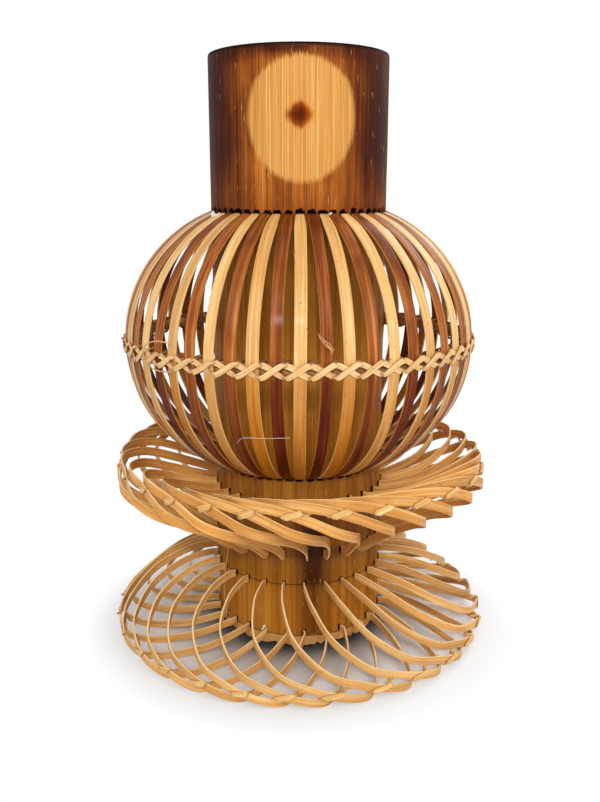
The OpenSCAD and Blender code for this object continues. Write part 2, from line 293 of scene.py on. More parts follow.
class Nodes:
    """Short ways to add shader nodes."""

    def __init__(self, tree):
        self.tree = tree

    def add(self, kind, **inputs):
        node = self.tree.nodes.new(kind)
        for key, value in inputs.items():
            self.put(node.inputs[key.replace("_", " ")], value)
        return node

    def put(self, socket, value):
        if isinstance(value, bpy.types.NodeSocket):
            self.tree.links.new(value, socket)
        else:
            socket.default_value = value

    def math(self, kind, a, b=0.0):
        node = self.tree.nodes.new("ShaderNodeMath")
        node.operation = kind
        self.put(node.inputs[0], a)
        self.put(node.inputs[1], b)
        return node.outputs[0]

    def plus(self, a, b):
        return self.math("ADD", a, b)

    def minus(self, a, b):
        return self.math("SUBTRACT", a, b)

    def times(self, a, b):
        return self.math("MULTIPLY", a, b)

    def stir(self, value, noise, amount):
        """A value moved up and down by a noise, by at most half the amount."""
        return self.plus(value, self.times(self.minus(noise, 0.5), amount))

    def mix(self, factor, a, b, blend="MIX"):
        node = self.tree.nodes.new("ShaderNodeMix")
        node.data_type = "RGBA"
        node.blend_type = blend
        self.put(node.inputs["Factor"], factor)
        self.put(node.inputs[6], a)
        self.put(node.inputs[7], b)
        return node.outputs[2]

    def noise(self, vector, scale, detail=3.0, rough=0.55):
        node = self.add("ShaderNodeTexNoise", Vector=vector, Scale=scale, Detail=detail, Roughness=rough)
        return node.outputs["Fac"]

    def grain(self, uv, per_u, per_v, detail=3.0, rough=0.55):
        """Noise with that many waves a metre along U and along V."""
        node = self.tree.nodes.new("ShaderNodeMapping")
        self.put(node.inputs["Vector"], uv)
        node.inputs["Scale"].default_value = (per_u, per_v, 1.0)
        return self.noise(node.outputs[0], 1.0, detail, rough)

    def ramp(self, factor, *stops):
        """Maps a factor through (place, value or colour) stops."""
        node = self.tree.nodes.new("ShaderNodeValToRGB")
        self.put(node.inputs[0], factor)
        ramp = node.color_ramp
        while len(ramp.elements) < len(stops):
            ramp.elements.new(0.5)
        for element, (place, value) in zip(ramp.elements, stops):
            element.position = place
            element.color = (value, value, value, 1) if isinstance(value, (int, float)) else value
        return node.outputs[0]

    def patches(self, colour, other, factor, start, full, amount=1.0):
        """Mixes the other colour in where the factor passes from start to full."""
        return self.mix(self.times(self.ramp(factor, (start, 0.0), (full, 1.0)), amount), colour, other)

    def painted(self):
        """The UV place, and the three parts that the mesh's tint colour holds."""
        uv = self.add("ShaderNodeUVMap").outputs[0]
        tint = self.add("ShaderNodeVertexColor")
        tint.layer_name = "tint"
        parts = self.add("ShaderNodeSeparateColor", Color=tint.outputs[0])
        return uv, parts.outputs[0], parts.outputs[1], parts.outputs[2]


def rgb(r, g, b):
    """A colour as it is seen (0 to 255) for the shader."""
    def linear(c):
        c /= 255
        return c / 12.92 if c <= 0.04045 else ((c + 0.055) / 1.055) ** 2.4
    return (linear(r), linear(g), linear(b), 1)


def strip_material(name, base, dark, light, edge, gloss, flecks=0.5, stain=0.0, coat=0.14, sheen=0.2,
                   deep_tone_and_shade=(0.66, 0.58, 0.50, 1), high=(1.22, 1.20, 1.16, 1), ior=1.18):
    """Split bamboo: fibres run along the strip (U), with cut edges, pale on most strips and dark on the
    lashing as painted shade, and scorched ends.
    """
    mat, tree, bsdf = shader(name)
    k = Nodes(tree)
    uv, tone, char, cut = k.painted()
    fibre = k.grain(uv, 28, 2600, 4.0, 0.65)
    coarse = k.grain(uv, 14, 420, 2.0)
    cloud = k.grain(uv, 32, 60)
    colour = k.patches(dark, base, fibre, 0.34, 0.64)
    colour = k.patches(colour, light, coarse, 0.46, 0.68, 0.75)
    colour = k.patches(colour, dark, cloud, 0.50, 0.72, 0.30 + stain)
    # Each strip's own tone, between the deep and the high colour. Along the splints the tone also gives a
    # painted sheen on the upper half and painted shade lower down, and along the lashing painted shade
    # where it tucks in
    colour = k.mix(1.0, colour, k.mix(tone, deep_tone_and_shade, high), "MULTIPLY")
    # Small brown flecks and pores drawn out along the fibres
    fleck = k.grain(uv, 320, 1500, 1.0)
    colour = k.patches(colour, rgb(70, 34, 12), fleck, 0.705, 0.745, flecks)
    colour = k.patches(colour, edge, cut, 0.25, 0.8, 0.85)
    colour = k.patches(colour, rgb(24, 13, 8), k.stir(char, fibre, 0.5), 0.42, 0.78)
    k.put(bsdf.inputs["Base Color"], colour)
    rough = k.plus(k.plus(gloss, k.times(cut, 0.25)), k.times(fibre, 0.10))
    k.put(bsdf.inputs["Roughness"], rough)
    bsdf.inputs["IOR"].default_value = ior
    bsdf.inputs["Coat Weight"].default_value = coat
    bsdf.inputs["Coat Roughness"].default_value = sheen
    height = k.plus(fibre, k.times(coarse, 0.8))
    bump = k.add("ShaderNodeBump", Height=height, Strength=0.45, Distance=0.00022)
    k.put(bsdf.inputs["Normal"], bump.outputs[0])
    k.put(bsdf.inputs["Coat Normal"], bump.outputs[0])
    return mat


# Places on the culm in metres: to the right of the front line, and height above the floor
DISC_AT = (0.0018, 0.2980)
DISC_R = 0.0311
DISC_FADED_R = 0.0341
DISC_SQUEEZE = 1.13
DISC_STREAKS_Z = 0.315
SPOT_AT = (0.0010, 0.2985)
NECK_FOOT_Z = 0.2495
FOOT_LINE_Z = 0.0076
UPPER_LINE_Z = 0.0402


def light_disc(k, around, height, streak):
    """1 inside the light disc: its edge is broken up by the fibres and fades upwards in streaks."""
    across = k.times(k.minus(around, DISC_AT[0]), DISC_SQUEEZE)
    up = k.minus(height, DISC_AT[1])
    far = k.math("SQRT", k.plus(k.times(across, across), k.times(up, up)))
    lift = k.times(k.math("MAXIMUM", k.minus(height, DISC_STREAKS_Z), 0.0), 0.30)
    far = k.stir(k.plus(far, lift), streak, k.plus(0.0035, k.times(lift, 3.0)))
    # A ramp's places run from 0 to 1, so the distance is drawn out first
    draw_out = 20.0
    return k.ramp(k.times(far, draw_out), (DISC_R * draw_out, 1.0), (DISC_FADED_R * draw_out, 0.0))


def centre_spot(k, around, height, fine, streak):
    """Place and colour of the disc's dark spot: a lopsided diamond with a soft orange edge."""
    across = k.math("ABSOLUTE", k.minus(around, SPOT_AT[0]))
    up = k.math("ABSOLUTE", k.minus(height, SPOT_AT[1]))
    far = k.plus(k.math("POWER", k.times(across, 135.0), 1.5), k.math("POWER", k.times(up, 145.0), 1.5))
    far = k.stir(k.stir(far, streak, 0.8), fine, 0.4)
    where = k.ramp(k.times(far, 0.5), (0.34, 1.0), (0.66, 0.0))
    rightward = k.times(k.plus(around, 0.0085), 25.0)
    tone = k.stir(k.plus(rightward, k.times(far, 0.55)), fine, 0.6)
    tone = k.ramp(tone, (0.30, rgb(84, 28, 6)), (0.62, rgb(140, 64, 14)), (0.90, rgb(204, 124, 40)))
    return where, tone


def neck_colour(k, uv, disc, scorch_and_shade, fine, streak, band):
    """Scorched from light brown to nearly black, streaked by the fibres, and honey in the disc."""
    blotch = k.grain(uv, 70, 26, 3.0, 0.6)
    # The scorch tint here also lightens along the neck's outline, a painted sheen
    depth = scorch_and_shade
    for noise, amount in ((band, 0.5), (streak, 0.55), (fine, 1.25), (blotch, 0.75)):
        depth = k.stir(depth, noise, amount)
    brown = k.ramp(depth, (0.02, rgb(200, 130, 58)), (0.28, rgb(164, 92, 32)), (0.50, rgb(128, 66, 24)),
                   (0.72, rgb(92, 44, 20)), (0.98, rgb(58, 26, 16)))
    honey = k.patches(rgb(178, 114, 46), rgb(212, 158, 88), fine, 0.36, 0.62)
    honey = k.patches(honey, rgb(200, 130, 50), streak, 0.50, 0.72, 0.5)
    pale = k.grain(uv, 1300, 5, 2.0, 0.6)
    honey = k.patches(honey, rgb(228, 188, 124), pale, 0.60, 0.70, 0.7)
    return k.mix(disc, brown, honey)


def lower_colour(k, height, scorch_and_shade, fine, streak, band, cloud):
    """Olive to golden brown with soft clouds, a pale band at the foot and two scribed lines."""
    colour = k.patches(rgb(156, 90, 20), rgb(214, 142, 46), band, 0.36, 0.66)
    colour = k.patches(colour, rgb(222, 154, 60), cloud, 0.46, 0.70, 0.5)
    colour = k.patches(colour, rgb(92, 48, 10), fine, 0.46, 0.70, 0.55)
    colour = k.patches(colour, rgb(112, 62, 16), streak, 0.52, 0.68, 0.45)
    # Darkened by the scorch tint, which below the neck is partly painted shade
    colour = k.mix(scorch_and_shade, colour, rgb(64, 26, 2))
    off_foot = k.minus(height, k.plus(FOOT_LINE_Z, k.times(cloud, 0.0028)))
    off_upper = k.minus(height, k.plus(UPPER_LINE_Z, k.times(cloud, 0.0022)))
    pale_band = k.ramp(k.times(off_foot, 500.0), (0.0, 0.8), (0.25, 0.0))
    colour = k.mix(pale_band, colour, rgb(214, 160, 96))
    for off_line in (off_foot, off_upper):
        off_mm = k.times(k.math("ABSOLUTE", off_line), 1000.0)
        line = k.times(k.ramp(off_mm, (0.22, 1.0), (0.5, 0.0)), 0.75)
        colour = k.mix(line, colour, rgb(48, 24, 8))
    return colour


def culm_material():
    """The culm: scorched and varnished outside, with a light disc and a dark spot at the front.
    Its scorch tint also carries painted shade lower down and a painted sheen along the neck's outline.
    """
    mat, tree, bsdf = shader("culm_bamboo")
    k = Nodes(tree)
    uv, scorch_and_shade, slot_char_and_shade, inside = k.painted()
    split = k.add("ShaderNodeSeparateXYZ", Vector=uv)
    around, height = split.outputs[0], split.outputs[1]
    fine = k.grain(uv, 2000, 12, 3.0, 0.75)
    streak = k.grain(uv, 620, 6, 3.0, 0.65)
    band = k.grain(uv, 130, 4, 3.0, 0.5)
    cloud = k.grain(uv, 26, 18)
    neck = neck_colour(k, uv, light_disc(k, around, height, streak), scorch_and_shade, fine, streak, band)
    spot_at, spot_tone = centre_spot(k, around, height, fine, streak)
    neck = k.mix(spot_at, neck, spot_tone)
    lower = lower_colour(k, height, scorch_and_shade, fine, streak, band, cloud)
    below = k.ramp(k.minus(NECK_FOOT_Z, height), (0.0, 0.0), (0.003, 1.0))
    colour = k.mix(below, neck, lower)

    # Pores and pale scratches along the fibres
    pore = k.grain(uv, 900, 160, 1.0)
    colour = k.patches(colour, rgb(66, 34, 12), pore, 0.74, 0.79, 0.55)
    scratch = k.grain(uv, 1300, 150, 0.0)
    colour = k.patches(colour, rgb(214, 168, 104), scratch, 0.775, 0.815, 0.4)

    # Cut faces and inside wall, then the burnt slots and lip in near black; in the slots this is also
    # painted shade for the depth of the holes
    pith = k.patches(rgb(172, 124, 72), rgb(216, 174, 116), fine, 0.35, 0.65)
    colour = k.mix(inside, colour, pith)
    colour = k.patches(colour, rgb(20, 11, 7), slot_char_and_shade, 0.25, 0.75)
    k.put(bsdf.inputs["Base Color"], colour)
    rough = k.plus(k.plus(0.42, k.times(fine, 0.14)), k.times(k.math("MAXIMUM", inside, slot_char_and_shade), 0.3))
    k.put(bsdf.inputs["Roughness"], rough)
    bsdf.inputs["IOR"].default_value = 1.08
    k.put(bsdf.inputs["Coat Weight"], k.plus(0.03, k.times(below, 0.14)))
    bsdf.inputs["Coat Roughness"].default_value = 0.2
    bump = k.add("ShaderNodeBump", Height=k.plus(fine, streak), Strength=0.4, Distance=0.0003)
    k.put(bsdf.inputs["Normal"], bump.outputs[0])
    return mat


def glue_material():
    """Dried glue, off-white and a little cloudy."""
    mat, tree, bsdf = shader("glue")
    k = Nodes(tree)
    white = rgb(232, 226, 212)
    grey = tuple(0.76 * c for c in white[:3]) + (1,)
    place = k.add("ShaderNodeTexCoord").outputs["Object"]
    k.put(bsdf.inputs["Base Color"], k.mix(k.noise(place, 60.0), grey, white))
    bsdf.inputs["Roughness"].default_value = 0.35
    return mat


# The splints' high colours give their upper halves a painted sheen, and their deep colours painted shade
# from the belly down
LIGHT = strip_material("light_splint", rgb(226, 176, 106), rgb(196, 138, 66), rgb(242, 202, 138),
                       rgb(226, 184, 122), 0.30, flecks=0.9, coat=0.16, sheen=0.1,
                       deep_tone_and_shade=(0.60, 0.35, 0.04, 1), high=(1.16, 1.32, 1.60, 1), ior=1.12)
DARK = strip_material("dark_splint", rgb(168, 96, 42), rgb(96, 42, 10), rgb(206, 134, 70),
                      rgb(190, 122, 56), 0.36, flecks=0.4, stain=0.35, coat=0.16, sheen=0.09,
                      deep_tone_and_shade=(0.30, 0.12, 0.02, 1), ior=1.09)
UPPER_STRIP = strip_material("upper_strip", rgb(220, 162, 88), rgb(184, 120, 52), rgb(240, 194, 126),
                             rgb(238, 202, 142), 0.33, flecks=0.7, stain=0.25)
LOWER_STRIP = strip_material("lower_strip", rgb(222, 174, 108), rgb(188, 132, 68), rgb(238, 200, 140),
                             rgb(240, 208, 152), 0.36, flecks=0.7, stain=0.2)
# The lashing's dark edge colour is painted shade along the strand's edges, and its deep colour painted
# shade where it tucks in
LASHING = strip_material("lashing_straw", rgb(232, 196, 142), rgb(186, 134, 76), rgb(246, 220, 174),
                         rgb(150, 100, 50), 0.42, flecks=0.8, stain=0.2, coat=0.15,
                         deep_tone_and_shade=(0.42, 0.32, 0.22, 1))
BINDING = strip_material("binding_straw", rgb(232, 192, 126), rgb(186, 134, 68), rgb(246, 218, 160),
                         rgb(150, 100, 48), 0.36, flecks=0.7, coat=0.2)
HOOP = strip_material("hoop_cane", rgb(206, 156, 98), rgb(160, 108, 60), rgb(226, 180, 120),
                      rgb(206, 156, 98), 0.45, flecks=0.6, coat=0.1)
CULM = culm_material()
GLUE = glue_material()


# Belly splints
SPLINT_SAMPLES = 34
TENON_ROWS = 3


def splint_arc(dz):
    """Radius of the arc from the widest place to the culm, dz above or below it."""
    reach = SPLINT_MID_R - CULM_R
    return (reach**2 + dz**2) / (2 * reach)


def splint_middle():
    """Radius, height and outward slope of a splint's middle line, from the neck to the waist."""
    r, z, nr, nz = [], [], [], []
    for sign, dz in ((1, NECK_Z - BELLY_Z), (-1, BELLY_Z - WAIST_Z)):
        rho = splint_arc(dz)
        top = math.asin(dz / rho)
        upper, lower = np.linspace(top, 0, SPLINT_SAMPLES), np.linspace(0, top, SPLINT_SAMPLES)[1:]
        a = upper if sign > 0 else lower
        r.append(SPLINT_MID_R - rho + rho * np.cos(a))
        z.append(BELLY_Z + sign * rho * np.sin(a))
        nr.append(np.cos(a))
        nz.append(sign * np.sin(a))
    return [np.concatenate(x) for x in (r, z, nr, nz)]


def splint_angles():
    """Turn of every splint at the belly, at the neck and at the waist."""
    even = np.arange(SPLINTS) * (360 / SPLINTS)
    # Handmade spacing: the ribs crowd a little towards the front on the left
    even = even + 0.7 + 1.3 * np.exp(-((bearing_of(even) + 52) / 30) ** 2)
    return even, even + rng.uniform(-0.5, 0.5, SPLINTS), even + rng.uniform(-0.5, 0.5, SPLINTS)


SPLINT_TURN, NECK_TURN, WAIST_TURN = splint_angles()


def down_full(z):
    """How far down the belly a height is, from 0 at the neck to 1 at the waist."""
    return (NECK_Z - z) / (NECK_Z - WAIST_Z)


def splint_line(j, mid_r, mid_z, out_r, out_z):
    """Middle line of a splint with its two tenons, and which way its face looks."""
    n = len(mid_r)
    down = down_full(mid_z)
    bulge = np.sin(np.pi * down)
    turn = (SPLINT_TURN[j] * bulge**0.6
            + (1 - bulge**0.6) * np.where(down < 0.5, NECK_TURN[j], WAIST_TURN[j]))
    turn = turn + drift(n, 3, 0.16) * bulge
    wave = drift(n, 3, 0.35) * np.abs(np.sin(2 * np.pi * down)) * 0.8
    path = polar(turn, mid_r + out_r * wave, mid_z + out_z * wave)
    lean = rng.normal(0, 3.0) + drift(n, 2, 2.0)
    outs = polar(turn + lean, out_r, out_z)
    inward = -polar(turn[[0, -1]], 1.0, 0.0)
    depth = CULM_R - TENON_R
    first = path[0] + np.outer(np.linspace(1, 0.2, TENON_ROWS) * depth, inward[0])
    last = path[-1] + np.outer(np.linspace(0.2, 1, TENON_ROWS) * depth, inward[1])
    outs = np.vstack([np.repeat(outs[:1], TENON_ROWS, 0), outs, np.repeat(outs[-1:], TENON_ROWS, 0)])
    return np.vstack([first, path, last]), outs


def splint_tone(kind, down):
    """Tone along a splint: its own, darker close under the neck, and low from the belly down as painted
    shade, while the higher tone above gives the painted sheen of the upper half.
    """
    top_dark, low_painted_shade = (0.10, 0.60) if kind == "light" else (0.32, 0.68)
    tone = rng.uniform(*SPLINT_TONES) - top_dark * np.exp(-((down - 0.05) / 0.16) ** 2)
    return np.clip(tone - low_painted_shade * np.interp(down, [0.47, 0.54, 0.78], [0, 0.72, 1]), 0, 1)


def build_splints():
    """Two splints that stand opposite each other share a mesh, as they share a node in the CAD."""
    middle = splint_middle()
    for kind, material in (("light", LIGHT), ("dark", DARK)):
        for i in range(SPLINTS // 4):
            batch = Batch()
            for half in (0, SPLINTS // 2):
                j = (2 * i + (kind == "dark") + half) % SPLINTS
                full, outs = splint_line(j, *middle)
                clear = np.hypot(full[:, 0], full[:, 1]) - CULM_R
                grow = np.clip(clear / SPLINT_TAPER, 0, 1)
                width = SPLINT_END_W + (SPLINT_W * rng.uniform(0.94, 1.02) - SPLINT_END_W) * grow
                width = width * (1 + drift(len(full), 5, 0.012))
                char = np.clip(1 - clear / SPLINT_CHAR_REACH, 0, 1)
                char[len(full) // 2:] *= 0.9
                tone = splint_tone(kind, down_full(full[:, 2]))
                sweep(batch, full, outs, width, SPLINT_T, tone, char, seed=j * 0.37)
            batch.build(f"splint_{kind}_{i + 1}", material, f"{kind}_splint", f"belly_{kind}_{i + 1}")


# Hoop and lashings
HOOP_STEP = 1.0
HOOP_SIDES = 14


def build_hoop():
    batch = Batch()
    turn = np.arange(0, 360, HOOP_STEP)
    n = len(turn)
    r = HOOP_R + drift(n, 6, 0.12, closed=True)
    z = BELLY_Z + drift(n, 6, 0.15, closed=True)
    thick = 2 * (HOOP_ROD_R - 0.15) * (1 + drift(n, 12, 0.03, closed=True))
    sweep(batch, polar(turn, r, z), polar(turn, 1.0, 0.0), thick, thick, 0.45, closed=True,
          profile=round_profile(HOOP_SIDES))
    batch.build("hoop", HOOP, "hoop_cane", "belly_hoop")


# One pass of a lashing: share of the way to the next splint, side (1 over the splints, -1 behind
# the hoop), height as a share of the hoop's, direction of its face
LASH_PASS = [
    (-0.52, 0.8, -0.78, -50), (-0.38, 1, -0.70, -18), (-0.20, 1, -0.40, -4), (0.0, 1, 0, 0),
    (0.20, 1, 0.40, 4), (0.38, 1, 0.70, 18), (0.52, 0.8, 0.78, 50), (0.48, 0, 1.04, 90),
    (0.45, -1, 0.45, 180), (0.55, -1, -0.45, 180), (0.54, 0, -1.04, 270),
]


def build_lashing(name, climb, layer, node):
    """One strand round the belly. climb is 1 or -1, and layer 1 lies over layer 0."""
    batch = Batch()
    step = 360 / SPLINTS
    stand = LASH_GAP + LASH_T / 2
    lift = layer * (LASH_T + LAYER_GAP)
    sides = {
        1: BELLY_R + stand + lift + 0.05, 0.8: BELLY_R - 0.2 + lift, 0: HOOP_R - HOOP_ROD_R / 2,
        -1: HOOP_R - HOOP_ROD_R - stand - lift,
    }
    reach = HOOP_ROD_R + stand + 0.5 * lift
    points, outs = [], []
    for i in range(SPLINTS):
        shift = rng.normal(0, 0.03)
        slant = rng.uniform(0.88, 1.10)
        for share, side, height, look in LASH_PASS:
            turn = (i + share + shift) * step
            points.append(polar(turn, sides[side], BELLY_Z + climb * height * slant * reach))
            a = math.radians(climb * look)
            outs.append(polar(turn, math.cos(a), math.sin(a)))
    smooth, places = closed_curve(points, 4)
    outs = unit(spread(outs, places))
    width = LASH_W * (1 + drift(len(smooth), 40, 0.03, closed=True))
    # Painted shade: the strand darkens where it dips in between the splints and behind the hoop
    tucked_shade = np.clip((BELLY_R + 0.2 - np.hypot(smooth[:, 0], smooth[:, 1])) / 1.6, 0, 1)
    sweep(batch, smooth, outs, width, LASH_T, 0.75 - 0.75 * tucked_shade, closed=True, seed=3.1 * layer)
    batch.build(name, LASHING, "lashing_straw", node)


# Skirts
def tenon(p):
    """The point straight in from p where a strip ends inside the culm's wall."""
    r = np.hypot(p[0], p[1])
    return np.array([p[0] * TENON_R / r, p[1] * TENON_R / r, p[2]])


def strip_route(kit, tie_shift, leave_shift, return_shift, lift, bearing):
    """A strip's middle line with its tie at turn 0, as smooth points. It will stand at bearing."""
    rows = []
    for half, (z0, z1) in ((kit["out"], kit["out_z"]), (kit["back"], kit["back_z"])):
        for turn, reach, up in half:
            held = min(reach / 0.9, 1.0)
            end = leave_shift if turn < 0 else return_shift
            shift = tie_shift * held + end * (1 - held)
            place = math.radians(bearing + turn)
            wide = kit["wide"] * max(math.sin(place), 0.0) ** 2 * held
            high = kit["high"] * max(math.cos(place), 0.0) ** 2 * held
            r = CULM_R + reach * (kit["rim_r"] - CULM_R) + wide
            z = z0 + up * (z1 - z0) + high
            if z > kit["w"] / 2 + 0.5:
                z += lift * math.sin(math.pi * held / 2) * (1 if held > 0.3 else 0)
            rows.append(polar(turn + shift, r, z))
    rows = np.array(rows)
    return resample(np.vstack([tenon(rows[0]), catmull(rows, 8), tenon(rows[-1])]), STRIP_STEP)


def rotated(points, turn):
    a = math.radians(turn)
    c, s = math.cos(a), math.sin(a)
    return points @ np.array([[c, s, 0], [-s, c, 0], [0, 0, 1]])


def strips_from_front(k):
    """Count of strips from the front one, below zero on the left."""
    return k if k <= STRIPS // 2 else k - STRIPS


def strip_shifts(k, ties):
    """Turn that a strip's tie and its two ends are off their even places."""
    tie = ties.get(strips_from_front(k), rng.uniform(-0.5, 0.5))
    return tie, tie * 0.6 + rng.uniform(-1.0, 1.0), tie * 0.6 + rng.uniform(-1.0, 1.0)


def build_strips(kit, ties, prefix, material, slot_name):
    """All strips of one skirt. Gives each strip's middle line for the binding."""
    lines = {}
    for i in range(STRIPS // 2):
        batch = Batch()
        for k in (i, i + STRIPS // 2):
            bearing = kit["turn"] + k * 360 / STRIPS
            tie, leave, back = strip_shifts(k, ties)
            path = rotated(strip_route(kit, tie, leave, back, rng.uniform(-0.35, 0.35), bearing), bearing)
            lines[k] = path
            along = unit(np.gradient(path, axis=0))
            outs = unit(np.stack([along[:, 1], -along[:, 0], 0 * along[:, 0]], axis=1))
            clear = np.hypot(path[:, 0], path[:, 1]) - CULM_R
            char = np.clip(1 - clear / STRIP_CHAR_REACH, 0, 1)
            width = kit["w"] * (1 + drift(len(path), 4, 0.015))
            width = width * (0.9 + 0.1 * np.clip(clear / 4, 0, 1))
            sweep(batch, path, outs, width, STRIP_T, rng.uniform(*STRIP_TONES), char, seed=k * 0.53)
        batch.build(f"{prefix}_{i + 1}", material, slot_name, f"{slot_name}_{i + 1}")
    return lines


def line_at(path, turn):
    """Radius and height of a strip's middle line near its tie, at a turn about the culm."""
    a = bearing_of(np.degrees(np.arctan2(path[:, 0], -path[:, 1])) - turn)
    r = np.hypot(path[:, 0], path[:, 1])
    near = (np.abs(a) < 22) & (r > 90)
    a, r, z = a[near], r[near], path[near][:, 2]
    order = np.argsort(a)
    return np.interp(0, a[order], r[order]), np.interp(0, a[order], z[order])


# Rows of one tie: share of the way to the next tie, share of the strand's width
BIND_ROWS = [
    (-0.20, 0.92), (-0.14, 1.0), (0.0, 1.0), (0.14, 1.0), (0.20, 0.92),
    (0.27, 0.6), (0.50, 0.45), (0.73, 0.6),
]


def bind_places(r0, z0, r1, z1, w):
    """Radius, height and face direction of each row, over a strip at r0, z0 to the next at r1, z1."""
    face = STRIP_T / 2
    front = r0 + face + BIND_STAND
    behind = min(r0, r1) - face - BIND_STAND
    return [
        (r0 + 0.4 * face, z0 - w / 2 - 0.55, -55),
        (front, z0 - w / 2 + 0.5, -8),
        (front, z0, 0),
        (front, z0 + w / 2 - 0.5, 8),
        (r0 + 0.4 * face, z0 + w / 2 + 0.55, 55),
        (behind, z0 + w / 2 - 0.6, 180),
        (behind, z1 - w / 2 + 1.0, 180),
        (r1 - face - BIND_STAND, z1 - w / 2 + 0.4, 190),
    ]


def build_binding(kit, ties, lines, width, name, node):
    """One strand that climbs across each strip, goes in above it and comes out under the next."""
    step = 360 / STRIPS
    points, outs, widths = [], [], []
    for k in range(STRIPS):
        near = strips_from_front(k)
        centre = kit["turn"] + k * step + ties.get(near, 0.0)
        after = ties.get(near + 1, 0.0) - ties.get(near, 0.0)
        own, following = lines[k], lines[(k + 1) % STRIPS]
        for row, (share, wide) in enumerate(BIND_ROWS):
            turn = centre + share * (step + after)
            r, z, look = bind_places(*line_at(own, turn), *line_at(following, turn), kit["w"])[row]
            a = math.radians(look)
            points.append(polar(turn, r, max(z, 0.8)))
            outs.append(polar(turn, math.cos(a), math.sin(a)))
            widths.append([width * wide])
    smooth, places = closed_curve(points, 5)
    batch = Batch()
    sweep(batch, smooth, unit(spread(outs, places)), spread(widths, places)[:, 0], BIND_T, 0.6,
          closed=True, seed=9.0)
    batch.build(name, BINDING, "binding_straw", node)


# Culm
CULM_COLUMNS = 560
FINE_ROWS = [
    (2.0, 22.0), (34.0, 48.0), (54.0, 66.0), (84.0, 96.0), (100.0, 111.0), (243.0, 257.0), (326.0, MOUTH_Z),
]
FINE_STEP = 0.6
COARSE_STEP = 2.5
FLARE_Z = (270, 330)
CHARRED_LIP = 2.3
FOOT_FADE = 7.0
RAGGED_STEPS = 140
TORN_STEPS = 90
STRIP_HOLE_DEPTH = 1.6

# Darkening of the lower culm by height: painted shade at the waist under the belly, and also darker between
# the skirts and high up inside the belly
LOW_DARKENING = [
    (4, 0.12), (38, 0.20), (44, 0.44), (60, 0.58), (84, 0.52), (104, 0.46), (125, 0.0), (160, 0.0),
    (200, 0.38), (246, 0.54),
]

# Rings past the outer surface: radius, height, cut face or inside wall, burnt
NODE_RING_R = 20.0
TOP_RINGS = [
    (CULM_R - 0.35, MOUTH_Z - 0.35, 0, 0.9), (CULM_R - 1.3, MOUTH_Z, 0, 0.85),
    ((CULM_R + BORE_R) / 2, MOUTH_Z - 0.1, 1, 0.6), (BORE_R + 1.2, MOUTH_Z - 0.05, 1, 0.5),
    (BORE_R, MOUTH_Z - 1.2, 1, 0.3),
    *[(BORE_R, z, 1, 0.12) for z in np.linspace(MOUTH_Z - 8, NODE_Z + 2, 16)],
    (BORE_R - 2, NODE_Z, 1, 0.1), (NODE_RING_R, NODE_Z, 1, 0.1),
]
UNDER_RINGS = [
    (NODE_RING_R, NODE_Z - NODE_T, 1, 0.1), (BORE_R - 1, NODE_Z - NODE_T, 1, 0.1),
    (BORE_R, NODE_Z - NODE_T - 1, 1, 0.1), (BORE_R, FOOT_Z + 2.5, 1, 0.1),
]
RING_UV_STEP = 3


def culm_rows():
    """Heights of the culm's outer rows: fine where strips enter it, coarse between."""
    rows, z = [], FOOT_Z
    while z < MOUTH_Z - 1.2:
        rows.append(z)
        z += FINE_STEP if any(a <= z < b for a, b in FINE_ROWS) else COARSE_STEP
    return np.array(rows)


def culm_ribs(turns):
    """Faint ribs of the fibres."""
    ribs = 0
    for waves in range(60, 96, 3):
        ribs = ribs + rng.normal(0, 0.010) * np.sin(np.radians(turns) * waves + rng.uniform(0, 6.28))
    return ribs


def torn_edge(steps):
    """A random height from 0 to 1 for every column, with that many steps round the culm."""
    heights = rng.uniform(0, 1, steps)
    corners = np.linspace(0, CULM_COLUMNS, steps + 1)
    return np.interp(np.arange(CULM_COLUMNS), corners, np.append(heights, heights[0]))


def splint_slots():
    """Every splint's two slots as (turn, height, half width, half height, depth)."""
    slots = []
    for j in range(SPLINTS):
        z = NECK_Z + rng.uniform(0.2, 0.7)
        slots.append((NECK_TURN[j], z, rng.uniform(1.8, 2.5), rng.uniform(1.2, 2.2), 2.4))
        slots.append((WAIST_TURN[j], WAIST_Z - 0.4, rng.uniform(2.0, 2.7), rng.uniform(0.9, 1.6), 1.6))
    return slots


def strip_slots(lines, kit):
    """Burnt holes where the strips enter: ragged, mostly above the strip."""
    slots = []
    for path in lines.values():
        for p in (path[1], path[-2]):
            turn = math.degrees(math.atan2(p[0], -p[1])) + rng.uniform(-0.6, 0.6)
            z = p[2] + kit["w"] * rng.uniform(0.05, 0.3)
            slots.append((turn, z, rng.uniform(0.6, 1.2), rng.uniform(0.9, 1.7), STRIP_HOLE_DEPTH))
    return slots


def cut_slots(turns, heights, r, ribs, slots):
    """The culm's radius with all slots pressed in, and how dark each place is painted by them: burnt, and
    painted shade for the depth of the holes.
    """
    char_and_hole_shade = np.zeros(turns.shape)
    for slot_turn, z, half_w, half_h, depth in slots:
        across = bearing_of(turns - slot_turn) * math.pi / 180 * CULM_R
        up = (heights - z) / half_h
        far = np.sqrt((across / half_w) ** 2 + up**2)
        ragged = 0.14 * np.sin(np.radians(turns) * 131 + slot_turn * 9)
        far = far * (1 + ragged * np.clip(up + 0.4, 0, 1))
        dent = np.clip((1.15 - far) / 0.35, 0, 1)
        char_and_hole_shade = np.maximum(char_and_hole_shade, np.clip((1.3 - far) / 0.35, 0, 1))
        r = np.minimum(r, CULM_R - depth * dent + ribs * (1 - dent))
    return r, char_and_hole_shade


